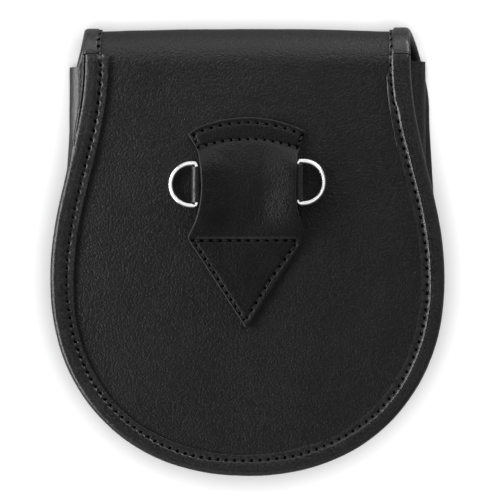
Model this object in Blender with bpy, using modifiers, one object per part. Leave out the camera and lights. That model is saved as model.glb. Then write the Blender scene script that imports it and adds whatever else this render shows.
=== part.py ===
"""A black leather sporran pouch, lying on its front flap with its back up.

+Z is up, +Y points to the rolled top fold, and the origin is under the middle of the pouch, on the surface
that it lies on. Metres throughout.

The back panel, the top fold and the flap are one piece of leather. It is drawn flat first: x runs across it,
and "run" runs along it, from the widest line of the back (0) over the fold to the tip of the flap. drape()
then bends that drawing into place, and every piece sewn to it is drawn in the same coordinates.
"""

import math

import bmesh
import bpy
import numpy as np
from mathutils import Vector

MM = 0.001

# ---------------------------------------------------------------- leather, wire and the air between pieces
PANEL_T = 1.8 * MM
BINDING_T = 0.9 * MM
GUSSET_T = 1.2 * MM
LOOP_T = 1.8 * MM
TAB_T = 1.1 * MM
WIRE_R = 1.0 * MM
GAP = 0.3 * MM
PUFF = 0.25 * MM  # how far an edging's leg rounds up between its ends

# ---------------------------------------------------------------- outlines, to the outside of the edging
ROUNDNESS = 2.15  # of the round bottoms: 2 would be an ellipse, and more is squarer
BACK_HALF = 82.9 * MM
BACK_DROP = 82.4 * MM  # from the widest line down to the bottom
NECK_HALF = 68.7 * MM
BACK_FLARE = 92.4 * MM  # from the widest line up to where the sides run parallel
FLAP_HALF = 80.1 * MM
FLAP_SHOULDER_HALF = 78.0 * MM
FLARE_LEAD = 10.0 * MM  # the leather starts to widen this far before the crown of the fold
FLAP_FLARE = 51.0 * MM  # from there to the flap's shoulder, below which it widens slowly
FLAP_LENGTH = 157.0 * MM  # from the crown of the fold to the flap's tip
FLAP_DROP = 72.0 * MM  # the flap's round end
FLAP_SKEW = 0.9 * MM  # the flap sits a little to the right of the back
SKEW_REACH = 30.0 * MM
FRONT_HALF = 82.0 * MM
FRONT_DROP = 81.5 * MM
FRONT_TOP_HALF = 77.0 * MM
FRONT_FLARE = 60.0 * MM
FRONT_TOP = 92.7 * MM  # the front panel's open edge, above the widest line
FRONT_LEAN = 1.2 * MM  # the open edge's right corner is further up than its middle by this, and its left one less
FRONT_RISE = 0.9 * MM  # and its right corner stands off the flap by this much more than its left one

# ---------------------------------------------------------------- edging
BAND = 10.4 * MM  # how far the back's edging reaches in at the sides
BAND_BOTTOM = 8.8 * MM
BAND_BOTTOM_REACH = 110.0 * MM  # along the edge, from the bottom to where it has its side width
NARROW_BAND = 7.8 * MM  # the flap's edging
INNER_LEG = 8.2 * MM  # the leg of an edging that is inside the pouch
EDGE_INSET = 2.5 * MM  # from the outside of an edging to the leather's cut edge in it
BINDING_START = 19.5 * MM  # along the run below the crown, where flap edging meets back edging

# ---------------------------------------------------------------- the top fold, and the heights that follow
FOLD_RADIUS = 15.5 * MM
FOLD_LINE = 89.5 * MM  # where the back starts to bend, above the widest line
FOLD_RUN = math.pi * FOLD_RADIUS
CROWN_RUN = FOLD_LINE + FOLD_RUN / 2
FLARE_RUN = CROWN_RUN - FLARE_LEAD
SHOULDER_RUN = FLARE_RUN + FLAP_FLARE
FLAP_WIDEST = CROWN_RUN + FLAP_LENGTH - FLAP_DROP
EDGING = BINDING_T + GAP + PANEL_T / 2  # from a panel's middle to the outside of its edging
FLAP_Z = EDGING
BACK_Z = FLAP_Z + 2 * FOLD_RADIUS
FRONT_Z = FLAP_Z + EDGING + GAP + PUFF + EDGING
FOLD_Z = (FLAP_Z + BACK_Z) / 2

# How far the leather swells out between its edgings, along the run.
SWELL = (
    {"at": "edging at the bottom", "run": BAND - BACK_DROP, "height": 0.0},
    {"at": "middle of the back", "run": 5 * MM, "height": 1.2 * MM},
    {"at": "back shoulder", "run": FOLD_LINE - 6 * MM, "height": 0.2 * MM},
    {"at": "crown of the fold", "run": CROWN_RUN, "height": 1.1 * MM},
    {"at": "flap shoulder", "run": FOLD_LINE + FOLD_RUN + 4 * MM, "height": 0.2 * MM},
    {"at": "middle of the flap", "run": CROWN_RUN + 90 * MM, "height": 0.7 * MM},
    {"at": "edging at the flap's tip", "run": CROWN_RUN + FLAP_LENGTH - BAND, "height": 0.0},
)
FRONT_SWELL = 0.8 * MM

# ---------------------------------------------------------------- gusset, from its back flange to its front one
GUSSET_SECTION = (
    {"at": "edge of the back flange", "depth": 0.00, "inset": 2.5 * MM},
    {"at": "root of the back flange", "depth": 0.00, "inset": 8.8 * MM},
    {"at": "back turn", "depth": 0.06, "inset": 10.4 * MM},
    {"at": "back wall", "depth": 0.27, "inset": 11.6 * MM},
    {"at": "bellows fold", "depth": 0.50, "inset": 15.5 * MM},
    {"at": "front wall", "depth": 0.73, "inset": 12.4 * MM},
    {"at": "front turn", "depth": 0.94, "inset": 11.4 * MM},
    {"at": "root of the front flange", "depth": 1.00, "inset": 10.0 * MM},
    {"at": "edge of the front flange", "depth": 1.00, "inset": 2.5 * MM},
)

# ---------------------------------------------------------------- belt loop, about its waist
LOOP_Y = 40.5 * MM  # above the widest line
LOOP_WAIST_HALF = 19.7 * MM
LOOP_CORNER_HALF = 24.9 * MM
LOOP_TOP = 21.6 * MM  # its top corners, above the waist
LOOP_ARC = 6.1 * MM  # how far the top edge arches over its corners
LOOP_SHOULDER = -23.2 * MM  # its lower corners
LOOP_TIP = -60.2 * MM
LOOP_TIP_HALF = 0.7 * MM
LOOP_BAND = 8.6 * MM  # the sewn band under the top edge
LOOP_HEIGHT = 5.5 * MM  # of the air under its sides, which the rings' bars hold up
LOOP_DIP = 2.4 * MM  # its middle sags this much below them
LOOP_SAG = (5.0 * MM, 20.5 * MM)  # from the middle line: where the sag starts to fade, and where it is gone
LOOP_CREST_ABOVE = (-2.0 * MM, 4.5 * MM)  # the crest's reach above the waist, on the middle line and at the bars
LOOP_CREST_BELOW = (-6.0 * MM, -10.0 * MM)
LOOP_CREST_FULL = 16.0 * MM  # from the middle line, where the crest has its reach at the bars

# ---------------------------------------------------------------- rings and their tab
RING_R = 8.85 * MM  # to the middle of the wire
RING_ARM = 2.3 * MM  # from the bar to where the round part starts
RING_CORNER = 1.15 * MM
RING_BAR_X = 21.0 * MM
RING_Y_SHIFT = 0.5 * MM  # the right ring sits higher than the left one by twice this
BAR_CLEARANCE = 0.25 * MM
TAB_HALF = 7.5 * MM
TAB_RETURN = 9.0 * MM  # from the middle of the strip to each folded end's edge
TAB_PINCH = 5.5 * MM  # beyond the bar, where the two layers meet

# ---------------------------------------------------------------- hidden stud
STUD_Y = -15.0 * MM
STUD_CAP_R = 5.0 * MM
STUD_POST_R = 2.2 * MM
STUD_HEIGHT = 1.8 * MM

# The widest line's own place, so that the origin is under the middle of the pouch.
WIDEST_Y = (BACK_DROP - FOLD_LINE - FOLD_RADIUS - EDGING) / 2


def smooth(share):
    """0 to 1 with level ends."""
    share = min(1.0, max(0.0, share))
    return share * share * (3 - 2 * share)


def raised_cosine(share):
    """1 at a share of 0, falling with level ends to 0 at a share of 1."""
    return (1 + math.cos(math.pi * min(1.0, max(0.0, share)))) / 2


def dome(distance, reach):
    """1 in the middle, falling to 0 at the reach and beyond."""
    return max(0.0, 1 - (distance / max(reach, MM)) ** 2)


# ==================================================================== outlines
def round_end(half, drop, steps=60):
    """From the tip of a round end to its widest point, as (x, distance above the widest line)."""
    angles = np.linspace(0, math.pi / 2, steps)
    return [
        (half * math.sin(a) ** (2 / ROUNDNESS), -drop * math.cos(a) ** (2 / ROUNDNESS))
        for a in angles
    ]


class Outline:
    """The right-hand half of an outline, by distance along it from its first point, which is on the middle line.
    A distance below 0 is the same place on the left."""

    def __init__(self, points):
        self.points = np.array(points)
        steps = np.diff(self.points, axis=0)
        self.distances = np.concatenate([[0], np.cumsum(np.hypot(*steps.T))])
        self.length = self.distances[-1]
        along = np.gradient(self.points, self.distances, axis=0)
        along /= np.hypot(*along.T)[:, None]
        self.inward = np.stack([-along[:, 1], along[:, 0]], axis=1)

    def at(self, distance, inset=0.0):
        """(x, run) at this distance, moved this far inwards."""
        d = abs(distance)
        x, run = (
            np.interp(d, self.distances, self.points[:, i])
            + inset * np.interp(d, self.distances, self.inward[:, i])
            for i in (0, 1)
        )
        return math.copysign(x, distance), run

    def distance_at_run(self, run, start=0.0):
        """The distance of the first point past start whose run reaches this."""
        past = (self.distances >= start) & (self.points[:, 1] >= run)
        return self.distances[np.argmax(past)]


def round_half_width(half, drop, past_widest):
    """The half width of a round end, this far past its widest line."""
    share = min(1.0, max(0.0, past_widest / drop))
    return half * (1 - share**ROUNDNESS) ** (1 / ROUNDNESS)


def strap_half_width(run):
    """Out to the back's widest line, in to the neck, out again over the fold to the flap, and in to its tip."""
    if run < 0:
        return round_half_width(BACK_HALF, BACK_DROP, -run)
    if run < FLARE_RUN:
        return NECK_HALF + (BACK_HALF - NECK_HALF) * raised_cosine(run / BACK_FLARE)
    if run < FLAP_WIDEST:
        flare = (FLAP_SHOULDER_HALF - NECK_HALF) * raised_cosine((run - FLARE_RUN) / FLAP_FLARE)
        widening = (FLAP_HALF - FLAP_SHOULDER_HALF) * smooth((run - SHOULDER_RUN) / (FLAP_WIDEST - SHOULDER_RUN))
        return FLAP_SHOULDER_HALF - flare + widening
    return round_half_width(FLAP_HALF, FLAP_DROP, run - FLAP_WIDEST)


def front_half_width(y):
    if y < 0:
        return round_half_width(FRONT_HALF, FRONT_DROP, -y)
    return FRONT_TOP_HALF + (FRONT_HALF - FRONT_TOP_HALF) * raised_cosine(y / FRONT_FLARE)


def strap_outline():
    """The whole back-and-flap leather, from the bottom of the back to the tip of the flap."""
    sides = [(strap_half_width(run), run) for run in np.linspace(1 * MM, FLAP_WIDEST - 1 * MM, 160)]
    tip = [(x, FLAP_WIDEST - y) for x, y in reversed(round_end(FLAP_HALF, FLAP_DROP))]
    return Outline(round_end(BACK_HALF, BACK_DROP) + sides + tip)


def front_outline():
    """The pouch's front, from its bottom to its open top corner."""
    sides = [(front_half_width(y), y) for y in np.linspace(1 * MM, FRONT_TOP, 60)]
    return Outline(round_end(FRONT_HALF, FRONT_DROP) + sides)


STRAP = strap_outline()
FRONT = front_outline()
NECK = STRAP.distance_at_run(CROWN_RUN)
BINDING_MEET = STRAP.distance_at_run(CROWN_RUN - BINDING_START)
FOLD_IN = STRAP.distance_at_run(FOLD_LINE)
FOLD_OUT = STRAP.distance_at_run(FOLD_LINE + FOLD_RUN, NECK)


# ==================================================================== from flat leather to the pouch
def swell(x, run):
    """How far the leather stands out of its plain fold: nothing under the edging, most in the middle."""
    rows = SWELL
    height = rows[-1]["height"]
    for low, high in zip(rows, rows[1:]):
        if run <= high["run"]:
            share = smooth((run - low["run"]) / (high["run"] - low["run"]))
            height = low["height"] + (high["height"] - low["height"]) * share
            break
    return height * dome(x, strap_half_width(run) - BAND)


def drape(x, run, lift=0.0):
    """The place of a point of the flat leather, lifted off its middle layer towards the outside."""
    lift += swell(x, run)
    x += FLAP_SKEW * smooth((run - FLARE_RUN) / SKEW_REACH)
    bend = (run - FOLD_LINE) / FOLD_RADIUS
    if bend <= 0:
        return Vector((x, WIDEST_Y + run, BACK_Z + lift))
    if bend < math.pi:
        radius = FOLD_RADIUS + lift
        y = WIDEST_Y + FOLD_LINE + radius * math.sin(bend)
        return Vector((x, y, FOLD_Z + radius * math.cos(bend)))
    past = run - FOLD_LINE - FOLD_RUN
    return Vector((x, WIDEST_Y + FOLD_LINE - past, FLAP_Z - lift))


def front_place(x, y, lift=0.0):
    """The same for the pouch's front, whose outside faces down. Lift is towards the inside."""
    out = dome(x, front_half_width(y) - BAND) * dome(y, FRONT_DROP - BAND)
    side, up = x / FRONT_TOP_HALF, smooth(y / FRONT_TOP)
    z = FRONT_Z + FRONT_RISE * up * (1 + side) / 2 - FRONT_SWELL * out + lift
    return Vector((x, WIDEST_Y + y + FRONT_LEAN * up * side, z))


def patch(left, right, bottom, top):
    """A Coons patch: the flat sheet stretched between four edge curves, each a function of 0 to 1."""

    def point(u, v):
        left_v, right_v, bottom_u, top_u = (
            np.array(edge(share)) for edge, share in ((left, v), (right, v), (bottom, u), (top, u))
        )
        corners = (
            (1 - u) * (1 - v) * np.array(bottom(0))
            + u * (1 - v) * np.array(bottom(1))
            + (1 - u) * v * np.array(top(0))
            + u * v * np.array(top(1))
        )
        return (1 - u) * left_v + u * right_v + (1 - v) * bottom_u + v * top_u - corners

    return point


# ==================================================================== Blender objects
def clear_scene():
    for obj in list(bpy.data.objects):
        bpy.data.objects.remove(obj)


def collection_of(name):
    found = bpy.data.collections.new(name)
    bpy.context.scene.collection.children.link(found)
    return found


def finish_of(name, colour, roughness, metallic=0.0):
    material = bpy.data.materials.new(name)
    material.use_nodes = True
    shader = material.node_tree.nodes["Principled BSDF"]
    shader.inputs["Base Color"].default_value = (*colour, 1.0)
    shader.inputs["Roughness"].default_value = roughness
    shader.inputs["Metallic"].default_value = metallic
    return material


clear_scene()
POUCH = collection_of("sporran_pouch")
PANEL_LEATHER = finish_of("panel_leather", (0.022, 0.022, 0.023), 0.48)
EDGING_LEATHER = finish_of("edging_leather", (0.016, 0.016, 0.017), 0.42)
NICKEL = finish_of("nickel", (0.80, 0.80, 0.79), 0.16, metallic=1.0)


def add_object(name, data, material):
    obj = bpy.data.objects.new(name, data)
    data.materials.append(material)
    POUCH.objects.link(obj)
    return obj


def leather_sheet(name, columns, rows, place, thickness, material):
    """An open grid whose corners lie where place(u, v) says, given its thickness on both sides."""
    mesh = bpy.data.meshes.new(name)
    grid = bmesh.new()
    bmesh.ops.create_grid(grid, x_segments=columns, y_segments=rows, size=0.5)
    for corner in grid.verts:
        corner.co = place(corner.co.x + 0.5, corner.co.y + 0.5)
    bmesh.ops.recalc_face_normals(grid, faces=grid.faces)
    grid.to_mesh(mesh)
    grid.free()
    mesh.shade_smooth()
    mesh.set_sharp_from_angle(angle=math.radians(50))
    sheet = add_object(name, mesh, material)
    leather = sheet.modifiers.new("leather", "SOLIDIFY")
    leather.thickness = thickness
    leather.offset = 0.0
    leather.use_even_offset = True
    return sheet


def along(zones, share):
    """A distance along an edge. Zones are (distance, row) pairs, and the rows are evenly spaced between them."""
    distances, rows = zip(*zones)
    return float(np.interp(share * rows[-1], rows, distances))


# ==================================================================== panels
CORNER_REACH = 62.0 * MM  # along a round end, from its tip to the corner of the grid laid on it


def back_flap_leather():
    """Rows are close together in the fold and far apart where the leather is flat."""
    zones = ((CORNER_REACH, 0), (FOLD_IN, 13), (FOLD_OUT, 29), (STRAP.length - CORNER_REACH, 39))
    flat = patch(
        left=lambda v: STRAP.at(-along(zones, v), EDGE_INSET),
        right=lambda v: STRAP.at(along(zones, v), EDGE_INSET),
        bottom=lambda u: STRAP.at((2 * u - 1) * CORNER_REACH, EDGE_INSET),
        top=lambda u: from_tip((2 * u - 1) * CORNER_REACH, EDGE_INSET),
    )
    leather_sheet("back_flap_leather", 12, 39, lambda u, v: drape(*flat(u, v)), PANEL_T, PANEL_LEATHER)


def from_tip(distance, inset):
    """A place on the strap by its distance from the flap's tip, where below 0 is the left."""
    return STRAP.at(math.copysign(STRAP.length - abs(distance), distance), inset)


def front_panel():
    zones = ((CORNER_REACH, 0), (FRONT.length, 12))
    flat = patch(
        left=lambda v: FRONT.at(-along(zones, v), EDGE_INSET),
        right=lambda v: FRONT.at(along(zones, v), EDGE_INSET),
        bottom=lambda u: FRONT.at((2 * u - 1) * CORNER_REACH, EDGE_INSET),
        top=lambda u: ((2 * u - 1) * (FRONT_TOP_HALF - EDGE_INSET), FRONT_TOP),
    )
    leather_sheet("front_panel", 10, 12, lambda u, v: front_place(*flat(u, v)), PANEL_T, PANEL_LEATHER)


# ==================================================================== edging
def edging_section(outer, inner, outer_leg, inner_leg, u, puff=PUFF):
    """(inset, lift) round an edging's middle layer, from the end of its outer leg, round the nose, to the end of
    its inner leg. Outer and inner are the lifts of the two legs."""
    nose = EDGE_INSET - BINDING_T / 2
    middle, half = (outer + inner) / 2, (outer - inner) / 2
    points = [(outer_leg, outer), ((outer_leg + EDGE_INSET) / 2, outer + puff)]
    for degrees in (90, 45, 0, -45, -90):
        angle = math.radians(degrees)
        points.append((EDGE_INSET - nose * math.cos(angle), middle + half * math.sin(angle)))
    points.append((inner_leg, inner))
    return points[round(u * (len(points) - 1))]


SECTION_FACES = 7  # of the eight points above


def band_width(distance):
    """The back's edging is a little narrower round the bottom."""
    share = smooth(abs(distance) / BAND_BOTTOM_REACH)
    return BAND_BOTTOM + (BAND - BAND_BOTTOM) * share


LEG = PANEL_T / 2 + GAP + BINDING_T / 2  # from a panel's middle to the middle of an edging's leg
FLANGE = PANEL_T / 2 + GAP + GUSSET_T / 2  # the same to the middle of the gusset's flange
LEG_OVER_FLANGE = FLANGE + GUSSET_T / 2 + GAP + BINDING_T / 2


def both_sides(zones, v):
    """A distance for a strip that runs from its left end, round the tip, to its right end."""
    return math.copysign(along(zones, abs(2 * v - 1)), 2 * v - 1)


def back_binding():
    zones = ((0.0, 0), (FOLD_IN, 23), (BINDING_MEET - GAP / 2, 25))

    def place(u, v):
        distance = both_sides(zones, v)
        inset, lift = edging_section(LEG, -LEG_OVER_FLANGE, band_width(distance), INNER_LEG, u)
        return drape(*STRAP.at(distance, inset), lift)

    leather_sheet("back_binding", SECTION_FACES, 50, place, BINDING_T, EDGING_LEATHER)


def flap_binding():
    zones = ((0.0, 0), (STRAP.length - FOLD_OUT, 19), (STRAP.length - BINDING_MEET - GAP / 2, 32))

    def place(u, v):
        inset, lift = edging_section(LEG, -LEG, NARROW_BAND, NARROW_BAND, u, puff=0.0)
        return drape(*from_tip(both_sides(zones, v), inset), lift)

    leather_sheet("flap_binding", SECTION_FACES, 64, place, BINDING_T, EDGING_LEATHER)


def front_binding():
    def place(u, v):
        inset, lift = edging_section(LEG, -LEG_OVER_FLANGE, INNER_LEG, INNER_LEG, u)
        return front_place(*FRONT.at((2 * v - 1) * FRONT.length, inset), -lift)

    leather_sheet("front_binding", SECTION_FACES, 44, place, BINDING_T, EDGING_LEATHER)


# ==================================================================== gusset
def gusset():
    """Each row of the section goes round the pouch, part of the way from the back's edge to the front's."""

    def place(u, v):
        row = GUSSET_SECTION[round(u * (len(GUSSET_SECTION) - 1))]
        round_pouch = 2 * v - 1
        back = drape(*STRAP.at(round_pouch * FOLD_IN, row["inset"]), -FLANGE)
        front = front_place(*FRONT.at(round_pouch * FRONT.length, row["inset"]), FLANGE)
        return back.lerp(front, row["depth"])

    leather_sheet("gusset", len(GUSSET_SECTION) - 1, 46, place, GUSSET_T, PANEL_LEATHER)


# ==================================================================== belt loop
def on_back(x, y, lift):
    """A point by its height over the outside of the back panel."""
    return drape(x, LOOP_Y + y, PANEL_T / 2 + lift)


def loop_half_width(y):
    if y < LOOP_SHOULDER:
        share = (y - LOOP_TIP) / (LOOP_SHOULDER - LOOP_TIP)
        return LOOP_TIP_HALF + (LOOP_CORNER_HALF - LOOP_TIP_HALF) * share
    spread = (LOOP_CORNER_HALF - LOOP_WAIST_HALF) * (y / LOOP_SHOULDER) ** 2
    return LOOP_WAIST_HALF + spread


def loop_top_arc(x):
    """How far the circle through the two top corners stands over them."""
    radius = (LOOP_CORNER_HALF**2 + LOOP_ARC**2) / (2 * LOOP_ARC)
    return math.sqrt(radius**2 - x * x) - (radius - LOOP_ARC)


def loop_air(x, y):
    """The air under the loop: none where it is sewn down, most over the rings' bars."""
    out = smooth(abs(x) / LOOP_CREST_FULL)
    crest_above, crest_below = (low + (full - low) * out for low, full in (LOOP_CREST_ABOVE, LOOP_CREST_BELOW))
    sewn_above = LOOP_TOP - LOOP_BAND + loop_top_arc(x)
    up = (sewn_above - y) / (sewn_above - crest_above)
    down = (y - LOOP_SHOULDER) / (crest_below - LOOP_SHOULDER)
    rise = math.sin(math.pi / 2 * min(1.0, max(0.0, min(up, down))))
    sag_start, sag_end = LOOP_SAG
    sag = LOOP_DIP * (1 - smooth((abs(x) - sag_start) / (sag_end - sag_start)))
    return (LOOP_HEIGHT - sag) * rise


def belt_loop():
    zones = ((LOOP_TIP, 0), (LOOP_SHOULDER, 3), (LOOP_CREST_BELOW[1], 8), (LOOP_CREST_ABOVE[1], 11))
    zones += ((LOOP_TOP - LOOP_BAND, 16), (LOOP_TOP, 18))
    heights, row_ends = zip(*zones)

    def place(u, v):
        row_y = np.interp(v * row_ends[-1], row_ends, heights)
        x = (2 * u - 1) * loop_half_width(row_y)
        y = row_y + loop_top_arc(x) * smooth(row_y / (LOOP_TOP - LOOP_BAND))
        return on_back(x, y, GAP + LOOP_T / 2 + loop_air(x, y))

    leather_sheet("belt_loop", 10, row_ends[-1], place, LOOP_T, PANEL_LEATHER)


# ==================================================================== tab and rings
BAR_HEIGHT = GAP + TAB_T + BAR_CLEARANCE + WIRE_R  # over the back panel
TAB_FOLD_R = WIRE_R + BAR_CLEARANCE + TAB_T / 2


def tab_half_path():
    """(x, height) of the strip's middle layer, from its middle line, round the right bar, to the folded end."""
    floor = BAR_HEIGHT - TAB_FOLD_R
    layer = floor + TAB_T + GAP
    points = [(0.0, floor), (RING_BAR_X / 2, floor)]
    for degrees in range(-90, 91, 30):
        angle = math.radians(degrees)
        points.append(
            (RING_BAR_X + TAB_FOLD_R * math.cos(angle), BAR_HEIGHT + TAB_FOLD_R * math.sin(angle))
        )
    for share in (0.25, 0.5, 0.75, 1.0):
        drop = (BAR_HEIGHT + TAB_FOLD_R - layer) * smooth(share)
        points.append((RING_BAR_X - TAB_PINCH * share, BAR_HEIGHT + TAB_FOLD_R - drop))
    points.append((TAB_RETURN, layer))
    return points


def ring_tab():
    right = tab_half_path()
    path = [(-x, height) for x, height in reversed(right[1:])] + right

    def place(u, v):
        x, height = path[round(v * (len(path) - 1))]
        slant = RING_Y_SHIFT * x / RING_BAR_X
        return on_back(x, (2 * u - 1) * TAB_HALF + slant, height)

    leather_sheet("ring_tab", 1, len(path) - 1, place, TAB_T, EDGING_LEATHER)


def ring_wire():
    """The D, flat, with the middle of its bar at the origin and its round side at +X."""
    corner = RING_R - RING_CORNER

    def bend(centre, radius, start, end, steps):
        turns = np.radians(np.linspace(start, end, steps))
        return [(centre[0] + radius * math.cos(a), centre[1] + radius * math.sin(a)) for a in turns]

    points = bend((RING_CORNER, -corner), RING_CORNER, 180, 270, 4)
    points += bend((RING_ARM, 0), RING_R, -90, 90, 17)
    points += bend((RING_CORNER, corner), RING_CORNER, 90, 180, 4)
    wire = bpy.data.curves.new("ring_wire", "CURVE")
    wire.dimensions = "3D"
    wire.bevel_depth = WIRE_R
    wire.bevel_resolution = 3
    line = wire.splines.new("POLY")
    line.points.add(len(points) - 1)
    for point, (x, y) in zip(line.points, points):
        point.co = (x, y, 0, 1)
    line.use_cyclic_u = True
    return wire


def add_ring(name, side):
    """A ring hinged on its bar. At rest its round side lies on the back panel."""
    y = side * RING_Y_SHIFT
    bar = on_back(side * RING_BAR_X, y, BAR_HEIGHT)
    reach = RING_ARM + RING_R
    resting = on_back(side * (RING_BAR_X + reach), y, GAP + WIRE_R)
    droop = math.asin((bar.z - resting.z) / reach)
    ring = add_object(name, ring_wire(), NICKEL)
    ring.location = bar
    ring.rotation_euler = (0, droop, 0) if side > 0 else (0, math.pi - droop, 0)


# ==================================================================== hidden stud
def closure_stud():
    """Turned about its own axis: a cap on the front panel, a post, and a head towards the flap."""
    cap = 0.6 * MM
    profile = (
        (0.0, STUD_HEIGHT),
        (STUD_CAP_R, STUD_HEIGHT),
        (STUD_CAP_R, STUD_HEIGHT - cap),
        (STUD_POST_R, STUD_HEIGHT - cap),
        (STUD_POST_R, cap),
        (STUD_CAP_R * 0.8, cap),
        (STUD_CAP_R * 0.8, 0.0),
        (0.0, 0.0),
    )
    mesh = bpy.data.meshes.new("closure_stud")
    edges = [(i, i + 1) for i in range(len(profile) - 1)]
    mesh.from_pydata([(r, 0, z) for r, z in profile], edges, [])
    stud = add_object("closure_stud", mesh, NICKEL)
    turn = stud.modifiers.new("turn", "SCREW")
    turn.steps = turn.render_steps = 20
    turn.use_merge_vertices = True
    turn.merge_threshold = 0.01 * MM
    under = front_place(0, STUD_Y, -PANEL_T / 2)
    stud.location = (0, under.y, under.z - GAP - STUD_HEIGHT)


back_flap_leather()
front_panel()
gusset()
back_binding()
flap_binding()
front_binding()
belt_loop()
ring_tab()
add_ring("ring_left", -1)
add_ring("ring_right", 1)
closure_stud()
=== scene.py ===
"""The looks of a black leather sporran pouch that lies on its front flap with its back up.

Lengths in this script are millimetres, and become metres where a mesh is made. +Z is up and +Y points to
the rolled top fold. The back, the fold and the flap are one piece of leather, drawn flat first: x runs across
it, and "run" runs along it, from the widest line of the back (0) over the fold to the tip of the flap.
drape() bends that drawing into place, and the pieces sewn to it are drawn in the same coordinates.
"""

import math
from dataclasses import dataclass

import bpy
import numpy as np
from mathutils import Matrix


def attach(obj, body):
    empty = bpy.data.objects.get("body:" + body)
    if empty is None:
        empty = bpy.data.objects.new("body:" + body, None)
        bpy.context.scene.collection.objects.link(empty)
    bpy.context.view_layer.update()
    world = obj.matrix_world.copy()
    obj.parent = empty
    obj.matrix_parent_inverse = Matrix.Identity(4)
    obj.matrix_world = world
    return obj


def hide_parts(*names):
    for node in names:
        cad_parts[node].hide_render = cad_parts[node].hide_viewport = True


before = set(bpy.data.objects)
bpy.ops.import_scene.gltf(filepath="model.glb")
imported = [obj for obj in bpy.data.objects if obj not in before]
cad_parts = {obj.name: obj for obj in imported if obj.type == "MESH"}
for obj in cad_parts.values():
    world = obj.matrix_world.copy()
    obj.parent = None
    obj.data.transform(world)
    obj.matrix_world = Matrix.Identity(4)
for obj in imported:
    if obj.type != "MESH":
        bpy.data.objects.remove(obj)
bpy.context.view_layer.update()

MM = 0.001

# ---- leather, wire and thread
PANEL_T = 1.8
GUSSET_T = 1.2
EDGING_T = 0.9
LOOP_T = 1.8
STRIP_T = 1.1
WIRE_R = 1.0
GAP = 0.3
SNUG = 0.03  # the air left between two pieces that are sewn together
PITCH = 3.75  # of the stitches
THREAD_R = 0.34

# ---- outlines, to the outside of the edging
ROUNDNESS = 2.15
BACK_HALF, BACK_DROP, BACK_FLARE = 82.9, 82.4, 92.4
NECK_HALF = 68.7
FLAP_HALF, FLAP_DROP, FLAP_LENGTH = 80.1, 72.0, 157.0
FLAP_SHOULDER_HALF, FLAP_FLARE = 78.0, 51.0
FLAP_SKEW, SKEW_REACH = 0.9, 30.0
FRONT_HALF, FRONT_DROP, FRONT_TOP_HALF, FRONT_FLARE, FRONT_TOP = 82.0, 81.5, 77.0, 60.0, 92.7
FRONT_LEAN, FRONT_RISE = 1.2, 0.9  # of its open edge's right corner: along, and off the flap
EDGE_INSET = 2.5  # from the outside of an edging to the cut edge of the leather in it
BAND = 10.4
BINDING_START = 19.5

# ---- the fold
FOLD_RADIUS = 15.5
FOLD_LINE = 89.5
FOLD_RUN = math.pi * FOLD_RADIUS
CROWN_RUN = FOLD_LINE + FOLD_RUN / 2
FLARE_RUN = CROWN_RUN - 10.0
SHOULDER_RUN = FLARE_RUN + FLAP_FLARE
FLAP_WIDEST = CROWN_RUN + FLAP_LENGTH - FLAP_DROP
EDGING = 2.1  # from a panel's middle to the outside of its edging
FLAP_Z = EDGING
FOLD_Z = FLAP_Z + FOLD_RADIUS
FRONT_Z = 6.85
WIDEST_Y = (BACK_DROP - FOLD_LINE - FOLD_RADIUS - EDGING) / 2

SWELL = (  # run, height
    (BAND - BACK_DROP, 0.0), (5.0, 1.2), (FOLD_LINE - 15, 0.75), (FOLD_LINE + 2, 0.15), (CROWN_RUN, 1.1),
    (FOLD_LINE + FOLD_RUN + 4, 0.2), (CROWN_RUN + 90, 0.7), (CROWN_RUN + FLAP_LENGTH - BAND, 0.0),
)
SWELL_END = 14.0  # the run over which it starts, and over which it ends
FRONT_SWELL = 0.8
FRONT_UNEVEN = 40.0  # how far aside the front's unevenness is taken from
UNEVEN_HEIGHT, UNEVEN_WAVE, UNEVEN_COUNT, UNEVEN_START, UNEVEN_SHRINK = 0.07, 64.0, 9, 1.7, 0.8
GOLDEN_ANGLE = math.pi * (3 - math.sqrt(5))
WAVES = ((0.5, 17.3, 1.0), (0.3, 7.9, 2.1), (0.2, 3.3, 4.7))  # of a hand-made line: share, length, start


# ==== small maths
def smooth(share):
    """0 to 1 with level ends."""
    share = np.clip(share, 0.0, 1.0)
    return share * share * (3 - 2 * share)


def raised_cosine(share):
    """1 at a share of 0, falling with level ends to 0 at a share of 1."""
    return (1 + np.cos(np.pi * np.clip(share, 0.0, 1.0))) / 2


def dome(distance, reach):
    """1 in the middle, falling as a parabola to 0 at the reach."""
    return np.maximum(0.0, 1 - (distance / np.maximum(reach, 1.0)) ** 2)


def bell(distance, width):
    """1 in the middle, falling to a bell's foot either side: e to the power of minus the share squared."""
    return np.exp(-((distance / width) ** 2))


def read(table, at, rounding=0.0):
    """A table of (place, value) rows, with straight lines between them, averaged this far each way."""
    places, values = zip(*table)
    steps = np.linspace(-rounding, rounding, 7) if rounding else (0.0,)
    return np.mean([np.interp(at + step, places, values) for step in steps], axis=0)


def waver(at, size, seed):
    """A slow wander of a hand-made line: three sine waves of unequal length."""
    return size * sum(share * np.sin(at / length + start * seed) for share, length, start in WAVES)


def crowded(count):
    """-1 to 1, closer together towards both ends: one and a half s, less half of s cubed."""
    s = np.linspace(-1, 1, count)
    return 1.5 * s - 0.5 * s**3


def quarter_round(from_edge, radius):
    """How far a rubbed edge falls, by the distance from it: a quarter circle of this radius."""
    share = np.clip(from_edge / radius, 0, 1)
    return radius * (1 - np.sqrt(1 - (1 - share) ** 2))


def circle(count):
    """Angles, evenly spaced once round."""
    return np.linspace(0, math.tau, count, endpoint=False)


def points_of(x, y):
    return np.stack(np.broadcast_arrays(x, y), -1)


def unit(vectors):
    """Flat vectors, each made one long."""
    return vectors / np.hypot(*vectors.T)[:, None]


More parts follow.
